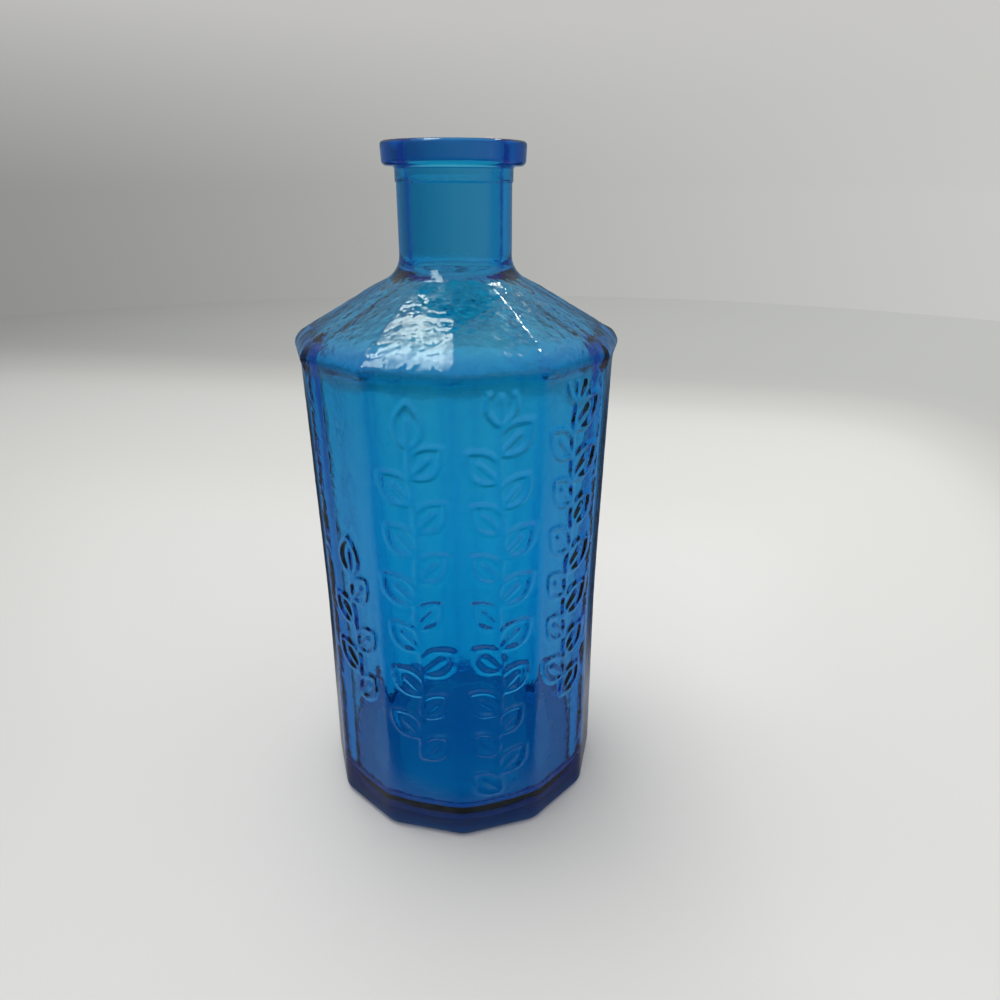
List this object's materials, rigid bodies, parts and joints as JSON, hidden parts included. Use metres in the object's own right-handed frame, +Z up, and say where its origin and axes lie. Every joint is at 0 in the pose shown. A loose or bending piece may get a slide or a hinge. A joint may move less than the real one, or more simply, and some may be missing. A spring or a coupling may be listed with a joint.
{
  "type": "bitters bottle",
  "caption": "Tall faceted bottle of clear blue glass with flat upright panels, a sloping shoulder, a short round neck and a flat flanged lip; open and empty.",
  "frame": {"origin": "centre of the foot, on the plane the bottle stands on", "axes": "+Z up through the mouth; -Y faces the front upright edge of the body; +X to the right seen from the front"},
  "size_m": [0.098, 0.098, 0.2054],
  "materials": {
    "body_glass": "clear cobalt to cyan blue glass, fire polished, softly hammered with small seeds",
    "lip_glass": "the same blue glass, thicker and so deeper in colour, smooth and fire polished"
  },
  "bodies": {
    "root": {"bottle_body": "body_glass", "applied_lip": "lip_glass"}
  },
  "joints": []
}
